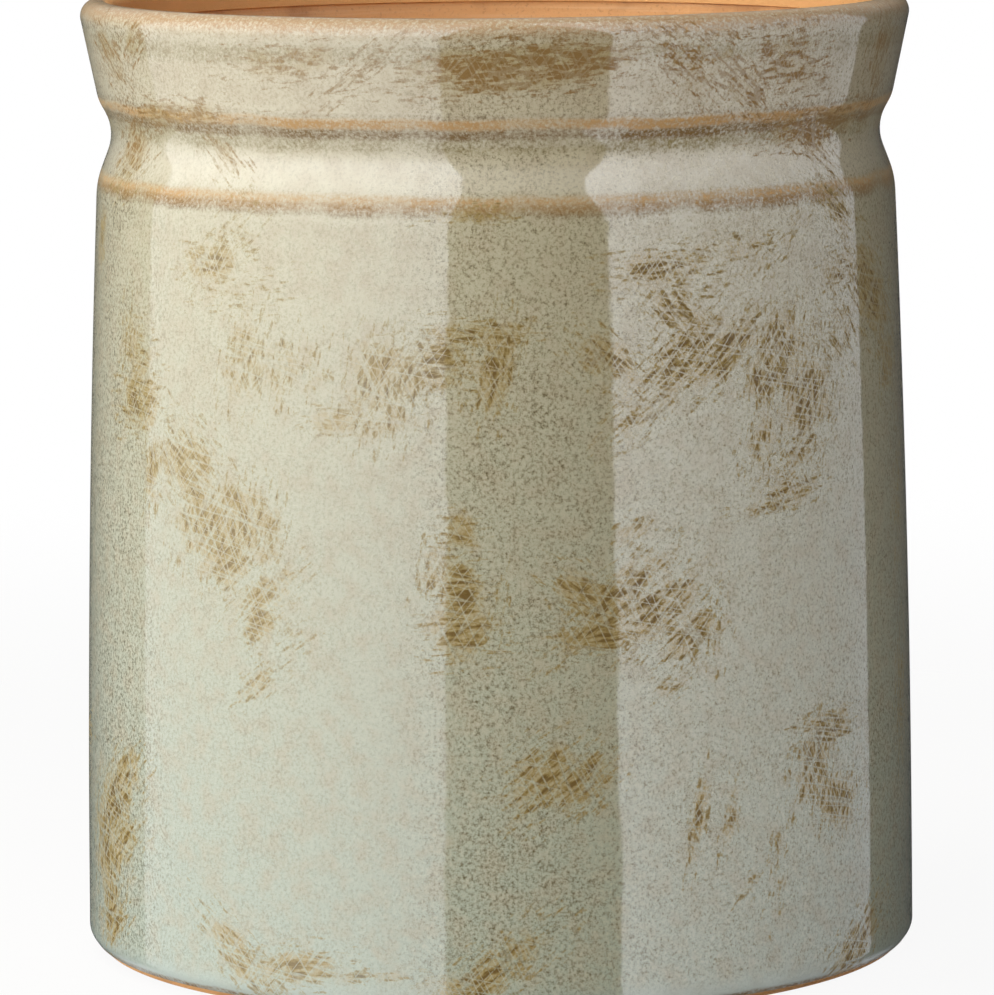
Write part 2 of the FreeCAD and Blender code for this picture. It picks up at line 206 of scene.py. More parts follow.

# Brushed areas seen from the front, listed one by one: brush, azimuth in degrees (right of the front is
# positive), height, half length along the brush and half width across it in millimetres, strength.
BRUSHED_AREAS = {
    "collar": [
        ("rising", -58, 337, 6, 4, 0.60), ("level", -29, 332, 14, 4, 0.60), ("rising", -18, 331, 16, 3, 0.38),
        ("level", 4, 332, 30, 5, 0.95), ("level", 2, 325, 22, 2, 0.70), ("falling", 27, 332, 14, 6, 0.50),
        ("level", 43, 332, 12, 6, 0.65), ("falling", 36, 323, 12, 5, 0.60), ("level", 46, 326, 10, 5, 0.60),
        ("level", -51, 312, 18, 3, 0.85), ("falling", -67, 330, 9, 6, 0.55),
        ("steep", 68, 330, 12, 7, 0.60)],
    "neck": [
        ("rising", -66, 296, 9, 7, 0.90), ("falling", -42, 298, 12, 4, 0.50), ("level", 53, 306, 17, 4, 0.95),
        ("falling", 53, 299, 10, 4, 0.70), ("falling", 55, 278, 10, 4, 0.75),
        ("level", -3, 281, 10, 2, 0.80)],
    "upper left": [
        ("level", -43, 262, 9, 4, 1.00), ("rising", -40, 268, 12, 5, 0.50), ("level", -38, 253, 14, 6, 0.35),
        ("steep", -76, 264, 7, 4, 0.80), ("steep", -36, 229, 10, 8, 0.65), ("steep", -30, 226, 9, 4, 0.60),
        ("steep", -25, 227, 7, 4, 0.45), ("steep", -16, 228, 7, 7, 0.75), ("steep", -12, 226, 6, 4, 0.75),
        ("steep", -16, 214, 8, 9, 0.60), ("level", -22, 209, 8, 3, 0.60), ("level", -8, 231, 7, 7, 0.90),
        ("level", -3, 240, 15, 3, 0.80), ("steep", 0, 228, 10, 4, 0.95), ("steep", -4, 230, 7, 4, 0.50)],
    "left": [
        ("level", -59, 209, 10, 7, 0.95), ("level", -59, 224, 6, 8, 0.60), ("steep", -63, 232, 10, 5, 0.45),
        ("falling", -47, 190, 11, 9, 0.75), ("steep", -55, 186, 8, 3, 0.80),
        ("steep", -43, 170, 10, 10, 0.90),
        ("steep", -37, 173, 8, 8, 0.90), ("rising", -39, 157, 6, 5, 1.00), ("steep", -32, 168, 11, 4, 0.55),
        ("rising", -33, 147, 10, 5, 0.75), ("rising", -34, 136, 6, 3, 0.95), ("rising", -30, 134, 8, 7, 0.35),
        ("rising", -34, 116, 8, 3, 0.60)],
    "foot": [
        ("rising", -66, 64, 11, 7, 1.20), ("rising", -62, 75, 9, 5, 0.80), ("steep", -70, 50, 11, 7, 1.10),
        ("rising", -63, 50, 9, 6, 0.80), ("steep", -68, 34, 10, 7, 0.90), ("rising", -67, 20, 8, 5, 1.00),
        ("falling", -37, 18, 14, 5, 0.70), ("level", -27, 18, 10, 4, 0.85), ("rising", -32, 14, 9, 4, 0.50),
        ("level", -18, 16, 12, 2, 0.45), ("rising", -2, 17, 16, 5, 0.95), ("rising", 57, 14, 12, 5, 0.95)],
    "middle": [
        ("level", -5, 172, 5, 4, 0.75), ("level", -5, 151, 5, 8, 1.00), ("level", -5, 137, 7, 6, 1.00),
        ("steep", -9, 158, 7, 3, 0.60), ("steep", 0, 145, 8, 2, 0.50), ("falling", 11, 150, 8, 5, 0.70),
        ("level", 13, 135, 10, 3, 0.95), ("rising", 17, 152, 12, 4, 1.00), ("rising", 15, 142, 14, 3, 0.80),
        ("rising", 22, 144, 11, 6, 0.90), ("rising", 26, 134, 7, 4, 1.00), ("steep", 29, 134, 7, 5, 0.55),
        ("rising", 18, 171, 4, 3, 0.60), ("rising", 23, 116, 4, 3, 0.50), ("falling", 15, 230, 8, 5, 1.00)],
    "upper right": [
        ("level", 23, 261, 12, 4, 0.95), ("level", 33, 266, 11, 3, 0.70), ("rising", 42, 265, 16, 3, 0.40),
        ("level", 27, 256, 14, 5, 0.40), ("falling", 25, 245, 9, 4, 0.85), ("rising", 26, 230, 14, 6, 0.95),
        ("rising", 33, 232, 12, 5, 0.90), ("rising", 20, 222, 9, 3, 0.60), ("rising", 21, 213, 12, 4, 0.60),
        ("steep", 42, 229, 9, 8, 1.00), ("steep", 39, 220, 5, 5, 1.10), ("steep", 47, 213, 11, 8, 0.95),
        ("steep", 38, 198, 7, 5, 0.60), ("rising", 45, 194, 10, 5, 0.60), ("level", 44, 181, 9, 3, 0.85),
        ("level", 41, 176, 11, 2, 0.75), ("level", 56, 255, 8, 4, 0.75), ("falling", 65, 246, 13, 8, 1.00),
        ("falling", 55, 234, 9, 8, 0.50), ("steep", 71, 218, 7, 6, 0.85),
        ("steep", 75, 172, 14, 5, 0.45)],
    "lower right": [
        ("rising", 6, 86, 9, 7, 0.80), ("rising", 6, 84, 4, 4, 1.00), ("rising", 11, 85, 7, 5, 1.00),
        ("rising", 5, 78, 8, 2, 0.70), ("steep", 27, 68, 10, 2, 0.90), ("steep", 32, 68, 8, 2, 0.70),
        ("level", 50, 94, 9, 4, 1.15), ("steep", 47, 83, 9, 6, 1.00), ("steep", 52, 68, 6, 8, 1.00),
        ("steep", 40, 50, 14, 3, 0.35), ("rising", 35, 43, 5, 2, 0.60),
        ("steep", 74, 96, 16, 5, 0.50)],
}

# The unseen sides carry like areas in loose groups, drawn from this seed: how many groups, the azimuth
# they start from, heights and half lengths in millimetres, half width over half length, strengths, and
# how far the areas of a group scatter, in degrees and millimetres.
UNSEEN_SEED = 7
UNSEEN_GROUPS = 34
UNSEEN_FROM = math.radians(82)
UNSEEN_HEIGHTS = (12, 335)
UNSEEN_LENGTHS = (3, 10)
UNSEEN_SLIMNESS = (0.35, 0.8)
UNSEEN_STRENGTHS = (0.45, 1.0)
UNSEEN_SCATTER = (4, 9)

# A brushed area, measured in its own half sizes after they are spread: where it is full and gone, where
# its halo of loose wisps is full and gone, and where its wash is.
BRUSH_SPREAD = 1.2
AREA_POWER = 2.5
AREA_FULL, AREA_END = 0.6, 1.5
HALO_FULL, HALO_END = 1.2, 2.6
HALO_STRENGTH = 0.30
WASH_FULL, WASH_END = 0.4, 2.0
BARE_UNDER = 0.10

# Bands that follow the turned edges: height of the middle over the ground and half width in
# millimetres, depth, colour. The smooth ones are pooled glaze at the foot and painted light in the neck's
# hollow; the others are rubbed and patchy. The stain band below the collar is partly painted shade.
EDGE_BANDS = (
    (0.0, 8.5, 0.90, "pooled"), (304.5, 3.0, 0.50, "stain_and_shade"), (326.0, 10.0, 0.22, "blush"),
    (335.0, 3.0, 0.30, "stain_and_shade"), (293.0, 4.5, 0.28, "neck"), (307.8, 1.8, 0.70, "worn_deep"),
    (314.0, 0.8, 0.22, "worn_deep"), (311.2, 1.6, 0.90, "worn"), (283.8, 2.4, 0.70, "worn"),
    (281.5, 2.0, 0.50, "worn_deep"), (4.0, 1.2, 0.90, "worn_deep"))
SMOOTH_BANDS = ("pooled", "neck")
BAND_FULL, BAND_END = 0.5, 1.7
BAND_WANDER = 4 * MM

# Places on the glaze, each from none to full: heights over the ground, distances right of the pot's
# middle, and the radius inside the lip.
WARM_ABOVE = (20 * MM, 290 * MM)
THIN_ABOVE = (284 * MM, 298 * MM)
# Painted light: the left front, where the key light and the left panel fall, has fainter grain and iron.
LIT_LEFT_FROM_EDGE = (-135 * MM, -112 * MM)
LIT_LEFT_FROM_FRONT = (-10 * MM, -40 * MM)
SANDY_FROM = (20 * MM, 70 * MM)
SANDY_TO = (142 * MM, 125 * MM)
LIP_ABOVE = (338.5 * MM, 346.5 * MM)
INNER_RADIUS = (142.5 * MM, 140.5 * MM)
INNER_ABOVE = (328 * MM, 330 * MM)

# Pattern sizes in the glaze. The real sand and bristle lines are finer, and are drawn as coarse as they
# need to show. Lines and scratches are cells of noise, long and narrow.
GRIT = 1.2 * MM
GRIT_RELIEF = 0.3 * MM
BLUSH = 7 * MM
BLUSH_RELIEF = 0.1 * MM
MOTTLE = 20 * MM
BRISTLE = (8 * MM, 1.9 * MM, 1)
SCRATCH = (45 * MM, 3.2 * MM, 1)
SCRATCH_DEGREES = (63, -50, 12)

# A brushed mark's level is the sum of its strength, bristle lines and grit by these weights; iron shows
# above the first level of the pair and is full at the second, and it is deep in the same way.
STRENGTH_WEIGHT, BRISTLE_WEIGHT, GRIT_WEIGHT = 1.3, 4.5, 1.6
IRON_LEVELS = (3.38, 4.32)
DEEP_LEVELS = (4.00, 5.00)

# Pattern sizes in the clay (slip bands and their slow run round the pot as cells in a metre), the rubber
# and the plastic. The finest are drawn as coarse as they need to show.
SLIP_BANDS = (12, 12, 1 / (1.6 * MM))
FIRE_MARK = 35 * MM
GROG = 1.2 * MM
GROG_RELIEF = 0.4 * MM
RUBBER_DUST = 6 * MM
PLUG_PEBBLE = 0.9 * MM
PAD_PEBBLE = 0.6 * MM
PEBBLE_RELIEF = 0.1 * MM
SPARK = 0.7 * MM
SPARK_RELIEF = 0.08 * MM
SCRAPE = (12 * MM, 0.7 * MM, 1)
SCRAPE_TURN = math.radians(25)

# How far each corner of the vessel's section is rounded, as a share of its shorter side.
ROUNDED = {"foot": 0.45, "belly": 0.88, "shoulder": 0.26, "neck": 0.62, "collar": 0.18, "lip": 0.58,
           "mouth": 0.38, "edge": 0.10, "fillet": 0.16, "glaze end": 0.40, "none": 0.0}

# Mesh steps along the section, and the most an arc turns between two points.
CLAY_HIDDEN_STEP, CLAY_STEP, DRAIN_STEP = 20 * MM, 1.6 * MM, 3 * MM
GLAZE_HIDDEN_STEP, GLAZE_STEP = 18 * MM, 2.5 * MM
CLAY_ARC = math.radians(9)
GLAZE_ARC = math.radians(8)

# Where throwing rings and trimming lines fade: heights over the floor and under the glaze, then radii,
# each from none to full. A face counts as level or upright by this share of its normal.
RING_OVER_FLOOR = (0, 30 * MM)
RING_UNDER_GLAZE = (0, 20 * MM)
FLOOR_RING_INNER, FLOOR_RING_OUTER = (40 * MM, 55 * MM), (140 * MM, 125 * MM)
TRIM_INNER, TRIM_OUTER = (24 * MM, 30 * MM), (122 * MM, 115 * MM)
FLOOR_RING_STRETCH = 1.6
FACING = 0.7

# The glaze's ripple: waves round the pot, the height in which the phase grows by one radian, phase.
RIPPLE_WAVES = ((5, 21 * MM, 0), (9, -13 * MM, 1.7), (3, 34 * MM, 0.6))
RIPPLE_FACING = 0.3

# The studio floor: radius, rows and columns, where it fades out, and its share of plain white.
FLOOR_RADIUS = 1.4
FLOOR_GRID = (15, 97)
FLOOR_FADE = (0.45, 1.3)
FLOOR_FIBRE = 20 * MM
FLOOR_WHITE = 0.93

# The dome that reflections see: radius in metres, columns and rows, lowest and highest elevation.
# Its panels: azimuths in degrees, and how their front edges lean with the elevation over a level.
DOME = 3.0
DOME_GRID = (721, 155)
DOME_REACH = (-70, 84)
LEFT_PANEL = (-114, -14.5)
RIGHT_PANEL = (32, 122)
PANEL_LEAN, PANEL_LEVEL = 0.09, -8
PANEL_TINT = (0.96, 1.0, 1.09, 1)

# How the panels' glow changes: start and end in degrees of azimuth or elevation, and amount.
LEFT_FADE = (-16, -118, 0.50)
RIGHT_FADE = (31, 124, 0.52)
PANEL_RISE = (-6, 16)
PANEL_DIM = (40, 62, 0.8)
LEFT_LIFT, RIGHT_LIFT = 0.75, 0.4
DARK_GLOW = 0.04
LOW_GLOW = (-18, -32, 0.8)
HIGH_GLOW = (12, 34, 0.45)

# Soft boxes: the setting with their power, azimuth in degrees, level distance, height and size in
# metres, tint.
LAMPS = {
    "key_light": ("key_power", -74, 1.6, 0.65, 1.4, "#eef4ff"),
    "fill_light": ("fill_power", 20, 1.9, 0.8, 1.0, "#fff3e6"),
    "front_light": ("front_power", -6, 2.2, 1.4, 1.2, "#fffbf3"),
    "top_light": ("top_power", -90, 0.45, 1.7, 0.9, "#fffcf6"),
}

# How far the camera sees, in metres.
CAMERA_REACH = 20


def rounded_outline(corners, turn):
    """Points along a closed outline of rounded corners, each (radius, height, share, step).

    A corner's arc is tangent to both its sides and leaves them at its share of the shorter one, so its
    radius is that reach times the tangent of half the angle between them. Straight runs and long arcs
    are cut into the corner's step, and an arc turns by at most turn between points.
    """
    spots = np.array([corner[:2] for corner in corners])
    shares, steps = np.array([corner[2:] for corner in corners]).T
    after = np.roll(spots, -1, axis=0) - spots
    before = np.roll(spots, 1, axis=0) - spots
    run = np.hypot(*after.T)
    reach = shares * np.minimum(run, np.roll(run, 1))
    to_after = after / run[:, None]
    to_before = before / np.roll(run, 1)[:, None]
    leave = spots + to_before * reach[:, None]
    join = spots + to_after * reach[:, None]
    stretches = []
    for i in range(len(corners)):
        if reach[i] > 0:
            bend = math.pi - math.acos(float(np.clip(to_before[i] @ to_after[i], -1, 1)))
            middle = to_before[i] + to_after[i]
            middle = spots[i] + middle / np.hypot(*middle) * reach[i] / math.sin(bend / 2)
            radius = float(np.hypot(*(leave[i] - middle)))
            count = int(max(2, np.ceil(bend / turn), np.ceil(bend * radius / steps[i])))
            t = np.linspace(0, 1, count, endpoint=False)[:, None]
            arc = np.sin((1 - t) * bend) * (leave[i] - middle) + np.sin(t * bend) * (join[i] - middle)
            stretches.append(middle + arc / math.sin(bend))
        ahead = leave[(i + 1) % len(corners)]
        count = int(max(1, np.ceil(np.hypot(*(ahead - join[i])) / steps[i])))
        t = np.linspace(0, 1, count, endpoint=False)[:, None]
        stretches.append(join[i] + t * (ahead - join[i]))
    return np.concatenate(stretches)


def outward(outline):
    """Unit normals of a closed outline, pointing out of the area that it encloses."""
    along = np.roll(outline, -1, axis=0) - np.roll(outline, 1, axis=0)
    radius, height = outline.T
    area = np.sum(radius * np.roll(height, -1) - np.roll(radius, -1) * height)
    normal = np.stack([along[:, 1], -along[:, 0]], axis=1) * np.sign(area)
    return normal / np.hypot(*normal.T)[:, None]


def turned_mesh(name, radius, height, azimuth):
    """Closed mesh from a closed outline turned about Z: rows along the outline, columns round the pot.

    Point (row, column) lies at (radius sin azimuth, -radius cos azimuth, height), so azimuth 0 is the
    front. The UV map holds arc lengths in metres: round the pot at its largest radius, and along the outline.
    """
    rows, columns = radius.shape
    points = np.stack([radius * np.sin(azimuth), -radius * np.cos(azimuth), height], axis=2).reshape(-1, 3)
    row, column = np.meshgrid(np.arange(rows), np.arange(columns), indexing="ij")
    next_row, next_column = (row + 1) % rows, (column + 1) % columns
    corners = np.stack([row * columns + column, row * columns + next_column,
                        next_row * columns + next_column, next_row * columns + column], axis=2)
    ring, top = radius[:, 0], height[:, 0]
    area = np.sum(ring * np.roll(top, -1) - np.roll(ring, -1) * top)
    across = np.stack([column, column + 1, column + 1, column], axis=2) / columns - 0.5
    steps = np.hypot(np.diff(ring, append=ring[:1]), np.diff(top, append=top[:1]))
    run = np.concatenate([[0], np.cumsum(steps)])
    along = np.stack([run[row], run[row], run[row + 1], run[row + 1]], axis=2)
    uv = np.stack([across * FULL_TURN * ring.max(), along], axis=3)
    if area < 0:
        corners, uv = corners[:, :, ::-1], uv[:, :, ::-1]
    mesh = bpy.data.meshes.new(name)
    mesh.vertices.add(len(points))
    mesh.vertices.foreach_set("co", points.astype(np.float32).ravel())
    mesh.loops.add(corners.size)
    mesh.loops.foreach_set("vertex_index", corners.astype(np.int32).ravel())
    mesh.polygons.add(rows * columns)
    mesh.polygons.foreach_set("loop_start", np.arange(0, corners.size, 4, dtype=np.int32))
    mesh.uv_layers.new(name="turned").data.foreach_set("uv", uv.astype(np.float32).ravel())
    mesh.polygons.foreach_set("use_smooth", np.ones(rows * columns, dtype=bool))
    mesh.update(calc_edges=True)
    mesh.validate()
    return mesh


def shown(name, mesh, material):
    """An object at the origin with its mesh and material."""
    mesh.materials.append(material)
    thing = bpy.data.objects.new(name, mesh)
    bpy.context.scene.collection.objects.link(thing)
    return thing


def add(tree, kind, sockets=(), out=0, **fields):
    """Add a node, set its fields, set or link its sockets by name or in order, and return an output."""
    made = tree.nodes.new(kind)
    for name, value in fields.items():
        setattr(made, name, value)
    for socket, value in sockets.items() if isinstance(sockets, dict) else enumerate(sockets):
        if isinstance(value, bpy.types.NodeSocket):
            tree.links.new(value, made.inputs[socket])
        else:
            made.inputs[socket].default_value = value
    return made.outputs[out] if made.outputs else None


def new_material(name):
    """An empty node material and its tree."""
    material = bpy.data.materials.new(name)
    material.use_nodes = True
    material.node_tree.nodes.clear()
    return material, material.node_tree


def side_corners(sizes, step, out=0.0, up=0.0):
    """The vessel's outer corners from the foot's bevel to the mouth, moved out and up."""
    collar_up = sizes.pot_height - sizes.collar_height
    neck_up = collar_up - sizes.neck_drop
    shoulder_up = neck_up - sizes.shoulder_drop
    return [
        (sizes.base_radius + out, sizes.bevel_height, ROUNDED["foot"], step),
        (sizes.belly_radius + out, sizes.belly_height, ROUNDED["belly"], step),
        (sizes.shoulder_radius + out, shoulder_up, ROUNDED["shoulder"], step),
        (sizes.neck_radius + out, neck_up, ROUNDED["neck"], step),
        (sizes.collar_radius + out, collar_up, ROUNDED["collar"], step),
        (sizes.lip_radius + out, sizes.pot_height + up, ROUNDED["lip"], step),
        (sizes.lip_radius - sizes.wall - out, sizes.pot_height + up, ROUNDED["mouth"], step),
    ]


def clay_outline(sizes, marks):
    """The vessel's closed section: foot, hidden outside, lip, inside, floor and drain hole."""
    floor_up = sizes.foot_height + sizes.floor_thickness
    foot_radius = sizes.base_radius - sizes.bevel_width
    foot_inner = foot_radius - sizes.foot_width
    *outside, mouth = side_corners(sizes, CLAY_HIDDEN_STEP, -marks.clay_gap, -marks.clay_gap)
    inside = [(radius - sizes.wall, *rest) for radius, *rest in side_corners(sizes, CLAY_STEP)[1:5]]
    return [
        (sizes.drain_radius, sizes.foot_height, ROUNDED["edge"], CLAY_STEP),
        (foot_inner - sizes.foot_draft, sizes.foot_height, ROUNDED["fillet"], CLAY_STEP),
        (foot_inner, 0.0, ROUNDED["edge"], CLAY_STEP),
        (foot_radius, 0.0, ROUNDED["edge"], CLAY_STEP),
        *outside, (*mouth[:3], CLAY_STEP),
        *reversed(inside),
        (sizes.base_radius - sizes.wall, floor_up, ROUNDED["fillet"], CLAY_STEP),
        (sizes.drain_radius, floor_up, ROUNDED["edge"], DRAIN_STEP),
    ]


def glaze_outline(sizes):
    """The glaze's closed section: hidden face on the clay, then the outside back down."""
    low_radius = sizes.base_radius - sizes.bevel_width * sizes.glaze_end
    low_up = sizes.bevel_height * (1 - sizes.glaze_end)
    flare = (sizes.lip_radius - sizes.collar_radius) / sizes.collar_height
    high_radius = sizes.lip_radius - sizes.wall - flare * sizes.glaze_lip_drop
    high_up = sizes.pot_height - sizes.glaze_lip_drop
    return [
        (low_radius, low_up, ROUNDED["none"], GLAZE_HIDDEN_STEP),
        *side_corners(sizes, GLAZE_HIDDEN_STEP),
        (high_radius, high_up, ROUNDED["none"], GLAZE_HIDDEN_STEP),
        (high_radius - sizes.glaze, high_up, ROUNDED["glaze end"], GLAZE_STEP),
        *reversed(side_corners(sizes, GLAZE_STEP, sizes.glaze, sizes.glaze)),
        (low_radius + sizes.glaze, low_up, ROUNDED["glaze end"], GLAZE_STEP),
    ]


def smooth_step(low, high, value):
    """0 below low, 1 above high, and an even S between."""
    t = np.clip((value - low) / (high - low), 0, 1)
    return t * t * (3 - 2 * t)


def unseen_areas():
    """Loose groups of brushed areas for the sides and back, in BRUSHED_AREAS' form."""
    draw = np.random.default_rng(UNSEEN_SEED)
    round_scatter, up_scatter = UNSEEN_SCATTER
    areas = []
    names = list(BRUSHES)
    for _ in range(UNSEEN_GROUPS):
        azimuth = math.degrees(draw.uniform(UNSEEN_FROM, FULL_TURN - UNSEEN_FROM))
        height = draw.uniform(*UNSEEN_HEIGHTS)
        for _ in range(draw.integers(1, 5)):
            brush = names[draw.integers(len(names))]
            size = draw.uniform(*UNSEEN_LENGTHS)
            areas.append((brush, azimuth + draw.normal(0, round_scatter), height + draw.normal(0, up_scatter),
                          size, size * draw.uniform(*UNSEEN_SLIMNESS), draw.uniform(*UNSEEN_STRENGTHS)))
    return areas


def brushed_strength(azimuth, height, girth):
    """How strongly each brush marks each point, and the wash round all marks: 1 is full.

    Each area is a rounded box along its brush on the unrolled side, by the power sum of its two distances
    in half sizes: it falls evenly from full to its end, inside a weak halo of loose wisps. Where a brush
    has no area, its strength is -1.
    """
    shape = np.broadcast(azimuth, height).shape
    strengths = {name: np.zeros(shape) for name in (*BRUSHES, "wash")}
    areas = sum(BRUSHED_AREAS.values(), []) + unseen_areas()
    for name, area_azimuth, area_height, half_length, half_width, weight in areas:
        turn = (azimuth - math.radians(area_azimuth) + math.pi) % FULL_TURN - math.pi
        across, up = turn * girth / MM, height / MM - area_height
        cosine, sine = math.cos(math.radians(BRUSHES[name])), math.sin(math.radians(BRUSHES[name]))
        along = np.abs(across * cosine + up * sine) / (half_length * BRUSH_SPREAD)
        over = np.abs(up * cosine - across * sine) / (half_width * BRUSH_SPREAD)
        away = (along ** AREA_POWER + over ** AREA_POWER) ** (1 / AREA_POWER)
        core = np.clip((AREA_END - away) / (AREA_END - AREA_FULL), 0, 1)
        halo = HALO_STRENGTH * np.clip((HALO_END - away) / (HALO_END - HALO_FULL), 0, 1)
        strengths[name] = np.maximum(strengths[name], weight * np.maximum(core, halo))
        wash = weight * smooth_step(WASH_END, WASH_FULL, away)
        strengths["wash"] = np.maximum(strengths["wash"], wash)
    for brush in BRUSHES:
        strengths[brush] -= smooth_step(BARE_UNDER, 0, strengths[brush])
    return strengths


def terracotta(colours):
    """Bare fired terracotta, thrown and unglazed: dry orange clay with paler slip in bands that follow
    the potter's fingers, darker fire marks and a grain of sand and grog."""
    material, tree = new_material("bare_terracotta")
    place = add(tree, "ShaderNodeTexCoord", out=3)
    band_place = add(tree, "ShaderNodeMapping", {"Vector": place, "Scale": SLIP_BANDS}, vector_type="POINT")
    bands = add(tree, "ShaderNodeTexNoise", {"Vector": band_place, "Scale": 1.0, "Detail": 4.0})
    clouds = add(tree, "ShaderNodeTexNoise", {"Vector": place, "Scale": 1 / FIRE_MARK, "Detail": 5.0})
    grain = add(tree, "ShaderNodeTexNoise", {"Vector": place, "Scale": 1 / GROG, "Detail": 3.0})
    tone = list(colours.clay)
    for noise, low, high, depth, paint in ((bands, 0.45, 0.75, 0.7, colours.clay_pale),
                                           (clouds, 0.50, 0.75, 0.6, colours.clay_dark),
                                           (grain, 0.58, 0.70, 0.25, colours.clay_dark)):
        part = add(tree, "ShaderNodeMapRange", (noise, low, high, 0, depth), interpolation_type="SMOOTHSTEP")
        tone = add(tree, "ShaderNodeMix", {0: part, 6: tone, 7: list(paint)}, 2, data_type="RGBA")
    relief = add(tree, "ShaderNodeMath", (grain, bands), operation="ADD")
    bump = add(tree, "ShaderNodeBump", {"Strength": 0.5, "Distance": GROG_RELIEF, "Height": relief})
    shader = add(tree, "ShaderNodeBsdfPrincipled",
                 {"Base Color": tone, "Roughness": 0.88, "IOR": 1.5, "Normal": bump})
    add(tree, "ShaderNodeOutputMaterial", {"Surface": shader})
    return material


def glaze_sand(tree, side, grit, mottle):
    """Pale grains, dark grains, how far grit breaks the coat, and the brightly lit left front.

    Painted light: on the left front, where the key light and the left panel fall, the grains are fainter,
    as the light washes them out there. The glaze dried sandier to the right.
    """
    from_left = add(tree, "ShaderNodeMapRange", (side, *LIT_LEFT_FROM_EDGE), interpolation_type="SMOOTHSTEP")
    from_front = add(tree, "ShaderNodeMapRange", (side, *LIT_LEFT_FROM_FRONT), interpolation_type="SMOOTHSTEP")
    lit_left_evened = add(tree, "ShaderNodeMath", (from_left, from_front), operation="MULTIPLY")
    shows = add(tree, "ShaderNodeMapRange", (lit_left_evened, 0, 1, 1, 0.36))
    pale = add(tree, "ShaderNodeMapRange", (grit, 0.50, 0.28, 0, 0.62))
    pale = add(tree, "ShaderNodeMath", (pale, shows), operation="MULTIPLY")
    clumped = add(tree, "ShaderNodeMath", (mottle, 0.12, grit), operation="MULTIPLY_ADD")
    dark = add(tree, "ShaderNodeMapRange", (clumped, 0.55, 0.77))
    dark = add(tree, "ShaderNodeMath", (dark, shows), operation="MULTIPLY")
    sandier = add(tree, "ShaderNodeMapRange", (side, *SANDY_FROM, 0, 0.55), interpolation_type="SMOOTHSTEP")
    to_edge = add(tree, "ShaderNodeMapRange", (side, *SANDY_TO), interpolation_type="SMOOTHSTEP")
    rough_grain = add(tree, "ShaderNodeMapRange", (clumped, 0.42, 0.74))
    gritty = add(tree, "ShaderNodeMath", (sandier, rough_grain), operation="MULTIPLY")
    gritty = add(tree, "ShaderNodeMath", (gritty, to_edge), operation="MULTIPLY")
    return pale, dark, gritty, lit_left_evened


def worn_edges(tree, height, grit, mottle):
    """The bands on the turned edges as (share, colour's name), how rubbed the edges are, and the lip.

    Bands wander a little with the mottle. Rubbed ones are patchy, and the grit breaks them up.
    """
    wander = add(tree, "ShaderNodeMath", (mottle, BAND_WANDER, height), operation="MULTIPLY_ADD")
    wander = add(tree, "ShaderNodeMath", (wander, BAND_WANDER / 2), operation="SUBTRACT")
    coarse = add(tree, "ShaderNodeMapRange", (grit, 0.3, 0.7, 0.2, 1.8), clamp=False)
    patchy = add(tree, "ShaderNodeMapRange", (mottle, 0.36, 0.62, 0.55, 1.1))
    bands = []
    rubbed = 0.0
    for middle, half, depth, name in EDGE_BANDS:
        away = add(tree, "ShaderNodeMath", (wander, middle * MM), operation="SUBTRACT")
        away = add(tree, "ShaderNodeMath", (away,), operation="ABSOLUTE")
        band = add(tree, "ShaderNodeMapRange", (away, half * MM * BAND_END, half * MM * BAND_FULL, 0, depth),
                   interpolation_type="SMOOTHSTEP")
        if name not in SMOOTH_BANDS:
            band = add(tree, "ShaderNodeMath", (band, patchy), operation="MULTIPLY")
            band = add(tree, "ShaderNodeMath", (band, coarse), operation="MULTIPLY", use_clamp=True)
            rubbed = add(tree, "ShaderNodeMath", (rubbed, band), operation="MAXIMUM")
        bands.append((band, name))
    lip = add(tree, "ShaderNodeMapRange", (wander, *LIP_ABOVE, 0, 0.85), interpolation_type="SMOOTHSTEP")
    lip = add(tree, "ShaderNodeMath", (lip, coarse), operation="MULTIPLY", use_clamp=True)
    return bands, rubbed, lip


